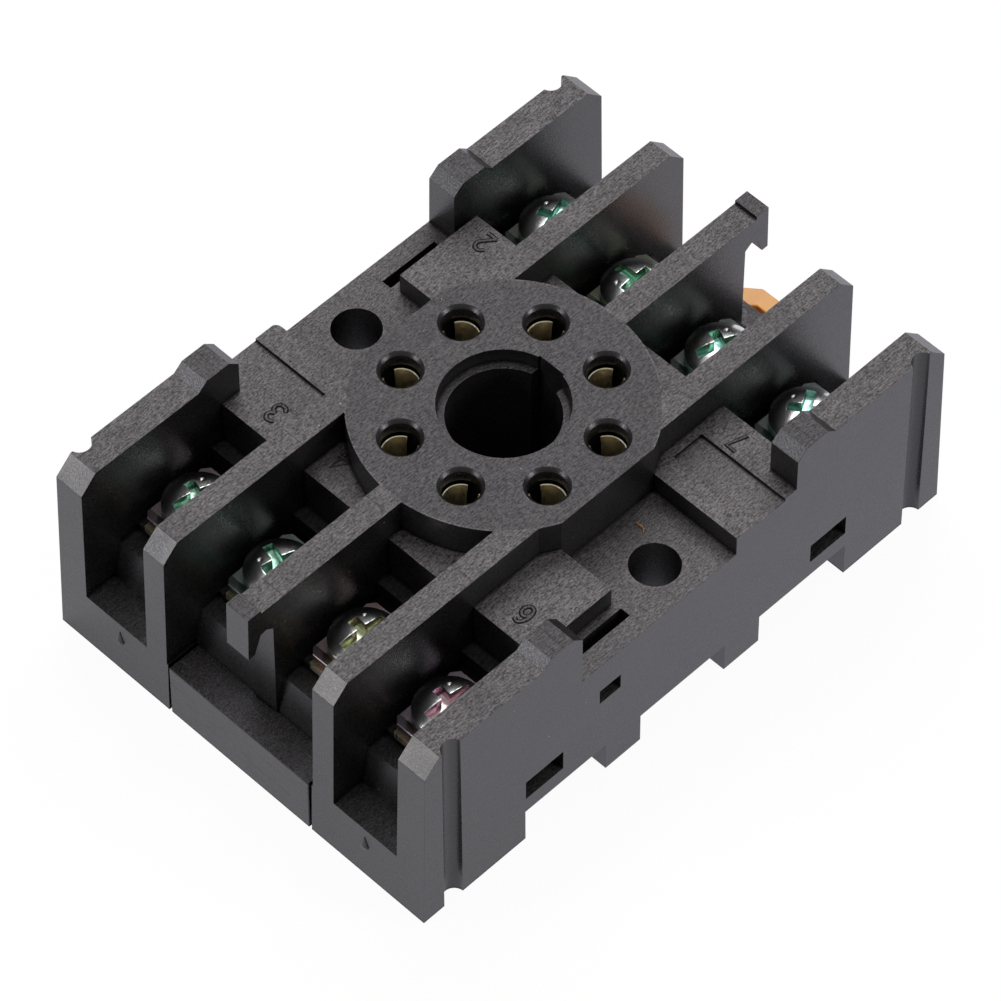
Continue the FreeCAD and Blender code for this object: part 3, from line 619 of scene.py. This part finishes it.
def shadowBlack(name, spec, grain):
    material, tree, shader = newMaterial(name, Roughness=spec["roughness"], Specular_IOR_Level=spec["shine"])
    fine = useGroup(tree, grain, Place=objectPlace(tree), **spec["mottles"])
    tree.links.new(mixColour(tree, fine, spec["dark"], spec["pale"]), shader.inputs["Base Color"])
    return material


# Solids that keep their shape get their finish and softened edges

dressSpec = {
    "weld": 0.002 * mm,
    "flatAngle": 0.5,
    "edgeAngle": 32,
    "widths": {
        "housing": 0.1 * mm,
        "base_plate": 0.09 * mm,
        "rail_slider": 0.12 * mm,
        "clamp_plate": 0.08 * mm,
    },
}


def softenEdges(item, width, segments, degrees):
    soften = item.modifiers.new("soften", "BEVEL")
    soften.width = width
    soften.segments = segments
    soften.limit_method = "ANGLE"
    soften.angle_limit = math.radians(degrees)


def smoothFaces(mesh, degrees=None):
    mesh.polygons.foreach_set("use_smooth", [True] * len(mesh.polygons))
    if degrees:
        mesh.set_sharp_from_angle(angle=math.radians(degrees))


def dress(node, material, spec, width):
    target = nodes[node]
    target.material_slots[0].material = material
    join = target.modifiers.new("join", "WELD")
    join.merge_threshold = spec["weld"]
    flatten = target.modifiers.new("flatten", "DECIMATE")
    flatten.decimate_type = "DISSOLVE"
    flatten.angle_limit = math.radians(spec["flatAngle"])
    softenEdges(target, width, 2, spec["edgeAngle"])
    even = target.modifiers.new("even", "WEIGHTED_NORMAL")
    even.keep_sharp = True


def addPiece(name, mesh, material, body):
    item = bpy.data.objects.new(name, mesh)
    mesh.materials.clear()
    mesh.materials.append(material)
    things.link(item)
    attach(item, body)
    return item


# Clamp screws: a domed head with a slot and a cross, and rolled threads below it

screwSpec = {
    "steps": 72,
    "headRadius": 2.95 * mm,
    "headLow": 11.95 * mm,
    "headHeight": 1.98 * mm,
    "seatShare": 0.98,
    # the rim rounds over by 60 degrees, and a dome with a flat middle closes the head
    "rimHeight": 1.0 * mm,
    "rimRound": 0.14 * mm,
    "rimTurn": 60,
    "rimSteps": 6,
    "domePower": 3,
    "domeSteps": 16,
    "shankRadius": 1.74 * mm,
    "threadDepth": 0.14 * mm,
    "threadPitch": 0.6 * mm,
    "tip": 6.3 * mm,
    "tipRadius": 1.2 * mm,
    "tipTaper": 0.5 * mm,
    # the recess narrows a little toward its floor
    "slotWidth": 0.92 * mm,
    "slotLength": 4.5 * mm,
    "crossLength": 3.2 * mm,
    "slotDepth": 1.2 * mm,
    "narrow": 0.92,
    "over": 2 * mm,
    "dimpleRadius": 0.3 * mm,
    "dimplePlace": (1.05 * mm, 1.25 * mm),
    "dimpleRaise": 0.02 * mm,
    "edge": 0.07 * mm,
    "edgeAngle": 40,
    "smoothAngle": 35,
    # each screw's own turn in degrees
    "turns": {1: 92, 2: 18, 3: -15, 4: 75, 5: -5, 6: -6, 7: 30, 8: -22},
}


def lathe(profile, steps):
    mesh = bpy.data.meshes.new("lathe")
    shape = bmesh.new()
    rings = []
    for radius, height in profile:
        if radius == 0:
            rings.append([shape.verts.new((0, 0, height))] * steps)
            continue
        turns = [2 * math.pi * step / steps for step in range(steps)]
        rings.append([shape.verts.new((radius * math.cos(turn), radius * math.sin(turn), height))
                      for turn in turns])
    for low, high in zip(rings, rings[1:]):
        for step in range(steps):
            corners = [low[step], low[(step + 1) % steps], high[(step + 1) % steps], high[step]]
            corners = list(dict.fromkeys(corners))
            if len(corners) > 2:
                shape.faces.new(corners)
    shape.normal_update()
    shape.to_mesh(mesh)
    shape.free()
    return mesh


def screwProfile(spec):
    low = spec["headLow"]
    radius = spec["headRadius"]
    top = low + spec["headHeight"]
    rim = low + spec["rimHeight"]
    root = spec["shankRadius"] - spec["threadDepth"]
    height = spec["tip"] + spec["tipTaper"]
    profile = [(0, spec["tip"]), (spec["tipRadius"], spec["tip"]), (root, height)]
    while height < low - spec["threadPitch"]:
        profile.append((spec["shankRadius"], height + spec["threadPitch"] / 2))
        height += spec["threadPitch"]
        profile.append((root, height))
    profile += [(root, low), (radius * spec["seatShare"], low), (radius, low + spec["edge"]), (radius, rim)]
    for step in range(1, spec["rimSteps"] + 1):
        turn = math.radians(spec["rimTurn"] * step / spec["rimSteps"])
        inward = spec["rimRound"] * (1 - math.cos(turn))
        profile.append((radius - inward, rim + spec["rimRound"] * math.sin(turn)))
    edge, shoulder = profile[-1]
    for step in range(1, spec["domeSteps"] + 1):
        across = 1 - step / spec["domeSteps"]
        rise = (top - shoulder) * (1 - across ** spec["domePower"])
        profile.append((edge * across, shoulder + rise))
    return profile


def barMesh(length, width, lowZ, highZ, lowShare):
    mesh = bpy.data.meshes.new("bar")
    shape = bmesh.new()
    bmesh.ops.create_cube(shape, size=1)
    for vert in shape.verts:
        share = lowShare if vert.co.z < 0 else 1.0
        vert.co.x *= length * share
        vert.co.y *= width * share
        vert.co.z = lowZ if vert.co.z < 0 else highZ
    shape.to_mesh(mesh)
    shape.free()
    return mesh


def ballMesh(radius, place):
    mesh = bpy.data.meshes.new("ball")
    shape = bmesh.new()
    bmesh.ops.create_icosphere(shape, subdivisions=3, radius=radius, matrix=Matrix.Translation(place))
    shape.to_mesh(mesh)
    shape.free()
    return mesh


def screwMesh(spec):
    top = spec["headLow"] + spec["headHeight"]
    deep = (top - spec["slotDepth"], top + spec["over"], spec["narrow"])
    dimple = (*spec["dimplePlace"], top + spec["dimpleRaise"])
    cutters = [
        barMesh(spec["slotLength"], spec["slotWidth"], *deep),
        barMesh(spec["slotWidth"], spec["crossLength"], *deep),
        ballMesh(spec["dimpleRadius"], dimple),
    ]
    blank = bpy.data.objects.new("blank", lathe(screwProfile(spec), spec["steps"]))
    things.link(blank)
    tools = []
    for mesh in cutters:
        tool = bpy.data.objects.new("tool", mesh)
        things.link(tool)
        tools.append(tool)
        cutting = blank.modifiers.new("cut", "BOOLEAN")
        cutting.operation = "DIFFERENCE"
        cutting.solver = "EXACT"
        cutting.object = tool
    softenEdges(blank, spec["edge"], 2, spec["edgeAngle"])
    bpy.context.view_layer.update()
    mesh = bpy.data.meshes.new_from_object(blank.evaluated_get(bpy.context.evaluated_depsgraph_get()))
    for item in tools + [blank]:
        bpy.data.objects.remove(item)
    smoothFaces(mesh, spec["smoothAngle"])
    return mesh


def makeScrews(spec, grain):
    master = screwMesh(spec)
    floorZ = spec["headLow"] + spec["headHeight"] - spec["slotDepth"]
    for number, turn in spec["turns"].items():
        low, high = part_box(f"screw_{number}")
        mesh = master.copy()
        mesh.transform(Matrix.Rotation(math.radians(turn), 4, "Z"))
        mesh.transform(Matrix.Translation(((low[0] + high[0]) / 2, (low[1] + high[1]) / 2, 0)))
        walls, floor = zincSpec["recessFilm"][number]
        zinc = zincPlate(f"screwZinc_{number}", zincSpec, walls, floor, floorZ, grain, True)
        item = addPiece(f"clamp_screw_{number}", mesh, zinc, f"driver_{number}")
        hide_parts(f"screw_{number}")


# Brass strips: the solid's own strip and nut, with two curved clip leaves round the pin

leafSpec = {
    "pinFar": 8.061 * mm,
    "pinNear": 3.339 * mm,
    "stripTop": 10.95 * mm,
    "thick": 0.15 * mm,
    "steps": 18,
    "halfAngle": 67,  # degrees to each side of the leaf's middle
    # height and inner radius in mm, from the top down: the leaf pinches in to hold the pin
    "section": [(18.35, 1.43), (18.0, 1.34), (17.4, 1.22), (16.5, 1.15), (15.4, 1.16), (13.2, 1.28),
                (10.7, 1.4)],
    "edge": 0.06 * mm,
    "edgeAngle": 50,
    "smoothAngle": 35,
    "outerRows": (2, 3, 6, 7),
}


def addLeaf(shape, spec, pinX, pinY, middle):
    steps = spec["steps"]
    outer, inner = [], []
    for height, radius in spec["section"]:
        for ring, extra in ((inner, 0), (outer, spec["thick"])):
            reach = radius * mm + extra
            row = []
            for step in range(steps + 1):
                turn = middle + math.radians(spec["halfAngle"]) * (2 * step / steps - 1)
                place = (pinX + reach * math.cos(turn), pinY + reach * math.sin(turn), height * mm)
                row.append(shape.verts.new(place))
            ring.append(row)
    for rows in (inner, outer):
        for high, low in zip(rows, rows[1:]):
            for step in range(steps):
                shape.faces.new((high[step], high[step + 1], low[step + 1], low[step]))
    for step in range(steps):
        for end in (0, -1):
            near, far = inner[end], outer[end]
            shape.faces.new((near[step], near[step + 1], far[step + 1], far[step]))
    for end in (0, steps):
        for row in range(len(inner) - 1):
            shape.faces.new((inner[row][end], inner[row + 1][end], outer[row + 1][end], outer[row][end]))


# The inner rows' leaves face each other along Y, and the outer rows' along X
def makeStrips(spec, brass):
    for number in range(1, 9):
        node = f"terminal_{number}"
        low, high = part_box(node)
        sideX = 1 if low[0] + high[0] > 0 else -1
        sideY = 1 if low[1] + high[1] > 0 else -1
        if number in spec["outerRows"]:
            pinX, pinY, first = spec["pinNear"], spec["pinFar"], 0.0
        else:
            pinX, pinY, first = spec["pinFar"], spec["pinNear"], math.pi / 2
        shape = bmesh.new()
        shape.from_mesh(nodes[node].data)
        clip = [vert for vert in shape.verts if vert.co.z > spec["stripTop"]]
        bmesh.ops.delete(shape, geom=clip, context="VERTS")
        for middle in (first, first + math.pi):
            addLeaf(shape, spec, sideX * pinX, sideY * pinY, middle)
        bmesh.ops.recalc_face_normals(shape, faces=shape.faces)
        mesh = bpy.data.meshes.new(f"strip_{number}")
        shape.to_mesh(mesh)
        shape.free()
        smoothFaces(mesh, spec["smoothAngle"])
        item = addPiece(f"brass_strip_{number}", mesh, brass, "socket")
        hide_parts(node)
        softenEdges(item, spec["edge"], 3, spec["edgeAngle"])


# Terminal numbers: raised strokes whose tops point toward -X

# points of each stroke, across and up, as shares of the number's width and height
digitStrokes = {
    1: [[(0.25, 0.8), (0.5, 1.0), (0.5, 0.0)]],
    2: [
        [(0.08, 0.78), (0.2, 0.95), (0.45, 1.0), (0.72, 0.92), (0.8, 0.7), (0.68, 0.5), (0.35, 0.25),
         (0.1, 0.0)],
        [(0.1, 0.0), (0.85, 0.0)],
    ],
    3: [
        [(0.1, 0.86), (0.3, 1.0), (0.6, 0.98), (0.76, 0.8), (0.68, 0.6), (0.42, 0.53)],
        [(0.42, 0.53), (0.72, 0.45), (0.82, 0.25), (0.68, 0.05), (0.4, 0.0), (0.15, 0.06), (0.05, 0.2)],
    ],
    4: [[(0.62, 0.0), (0.62, 1.0), (0.05, 0.3), (0.85, 0.3)]],
    6: [
        [(0.72, 0.88), (0.5, 1.0), (0.26, 0.9), (0.1, 0.6), (0.1, 0.3), (0.24, 0.06), (0.48, 0.0),
         (0.72, 0.1), (0.8, 0.33), (0.68, 0.54), (0.44, 0.6), (0.2, 0.5), (0.1, 0.32)],
    ],
    7: [[(0.1, 1.0), (0.82, 1.0), (0.38, 0.0)]],
}

numberSpec = {
    "tall": 1.85 * mm,
    "wide": 1.35 * mm,
    "middle": (0.45, 0.5),
    "level": platformZ,
    "strokeHalf": 0.12 * mm,
    "rise": 0.08 * mm,
    # painted shadow: the dark line round a stroke
    "edgeShare": 1.8,
    "edgeRise": 0.01 * mm,
    # middle of each number on its platform, mm
    "places": {
        2: (12.25, 14.35),
        3: (-11.5, 13.8),
        4: (-11.25, 6.71),
        6: (-11.6, -13.75),
        7: (12.1, -13.9),
        1: (11.3, 6.7),
    },
}


def strokeCurve(name, strokes, spec, half):
    curve = bpy.data.curves.new(name, "CURVE")
    curve.dimensions = "3D"
    curve.bevel_depth = half
    curve.bevel_resolution = 3
    curve.resolution_u = 6
    curve.use_fill_caps = True
    middleX, middleY = spec["middle"]
    for stroke in strokes:
        # only short strokes keep their corners
        rounded = len(stroke) > 4
        spline = curve.splines.new("NURBS" if rounded else "POLY")
        spline.points.add(len(stroke) - 1)
        for point, (across, up) in zip(spline.points, stroke):
            point.co = ((across - middleX) * spec["wide"], (up - middleY) * spec["tall"], 0, 1)
        if rounded:
            spline.order_u = 3
            spline.use_endpoint_u = True
    item = bpy.data.objects.new(name, curve)
    things.link(item)
    bpy.context.view_layer.update()
    return item


def makeNumbers(spec, plastic, shadow):
    upright = Matrix.Rotation(math.radians(90), 4, "Z")
    half = spec["strokeHalf"]
    for number, (x, y) in spec["places"].items():
        place = Matrix.Translation((x * mm, y * mm, spec["level"])) @ upright
        # each number gets its raised strokes and, under them, a wider dark sheet of painted shadow
        for name, reach, rise, material in (
            (f"number_{number}", half, spec["rise"], plastic),
            (f"number_{number}_edge", half * spec["edgeShare"], spec["edgeRise"], shadow),
        ):
            curve = strokeCurve(name, digitStrokes[number], spec, reach)
            mesh = bpy.data.meshes.new_from_object(curve)
            bpy.data.objects.remove(curve)
            mesh.transform(place @ Matrix.Diagonal((1, 1, rise / reach, 1)))
            smoothFaces(mesh)
            addPiece(name, mesh, material, "socket")


# Gate marks: two small drop-shaped nubs low on the end face at -X

nubSpec = {
    "places": [(13.6, 3.8), (-13.9, 3.8)],  # y and z, mm
    "halfWidth": 0.45 * mm,
    "tail": 1.1 * mm,
    "proud": 0.22 * mm,
    "pinch": 0.65,
    "pinchPower": 0.8,
    # the end face leans in by 0.5 mm over its height of 20.05 mm
    "draft": 0.5 / 20.05,
}


def makeNubs(spec, plastic):
    for number, (y, z) in enumerate(spec["places"], 1):
        shape = bmesh.new()
        bmesh.ops.create_icosphere(shape, subdivisions=4, radius=1)
        for vert in shape.verts:
            up = vert.co.z
            share = 1.0 - spec["pinch"] * max(up, 0) ** spec["pinchPower"]
            vert.co.x *= spec["proud"] * share
            vert.co.y *= spec["halfWidth"] * share
            vert.co.z = up * (spec["tail"] if up > 0 else spec["halfWidth"])
        face = cadBox[0][0] + z * mm * spec["draft"]
        bmesh.ops.translate(shape, verts=shape.verts, vec=(face, y * mm, z * mm))
        mesh = bpy.data.meshes.new(f"nub_{number}")
        shape.to_mesh(mesh)
        shape.free()
        smoothFaces(mesh)
        addPiece(f"gate_nub_{number}", mesh, plastic, "socket")


# A loose orange fibre on the near deck

fibreSpec = {
    "points": [(1.93, -12.7, 14.76), (1.7, -12.95, 14.95), (1.98, -13.4, 14.82), (1.6, -13.75, 14.76)],
    "radius": 0.035 * mm,
}


def makeFibre(spec, material):
    curve = bpy.data.curves.new("dust_fibre", "CURVE")
    curve.dimensions = "3D"
    curve.bevel_depth = spec["radius"]
    spline = curve.splines.new("NURBS")
    spline.points.add(len(spec["points"]) - 1)
    for point, place in zip(spline.points, spec["points"]):
        point.co = (*(part * mm for part in place), 1)
    spline.order_u = 3
    spline.use_endpoint_u = True
    curve.materials.append(material)
    item = bpy.data.objects.new("dust_fibre", curve)
    things.link(item)
    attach(item, "socket")


makeCamera(cameraSpec)
makeStudio(studioSpec)
makeFloor(studioSpec)
print("studio made")

grain = makeGrain()
specks = makeSpecks()
black = blackPlastic("blackPlastic", blackSpec, grain, specks)
scratched = blackPlastic("scratchedPlastic", basePlateSpec, grain, specks)
orange = orangePlastic("orangePlastic", orangeSpec, grain, specks)
brass = paleBrass("paleBrass", brassSpec, grain)
shadow = shadowBlack("numberPaintedShadow", shadowSpec, grain)
widths = dressSpec["widths"]
for node, material in (("housing", black), ("base_plate", scratched), ("rail_slider", orange)):
    dress(node, material, dressSpec, widths[node])
for number, film in zincSpec["plateFilm"].items():
    plateZinc = zincPlate(f"plateZinc_{number}", zincSpec, film, film, zincSpec["plateZ"], grain, False)
    dress(f"clamp_plate_{number}", plateZinc, dressSpec, widths["clamp_plate"])
print("solids dressed")

makeScrews(screwSpec, grain)
makeStrips(leafSpec, brass)
print("screws and strips made")
makeNumbers(numberSpec, black, shadow)
makeNubs(nubSpec, black)
makeFibre(fibreSpec, orange)
print("numbers and marks made")
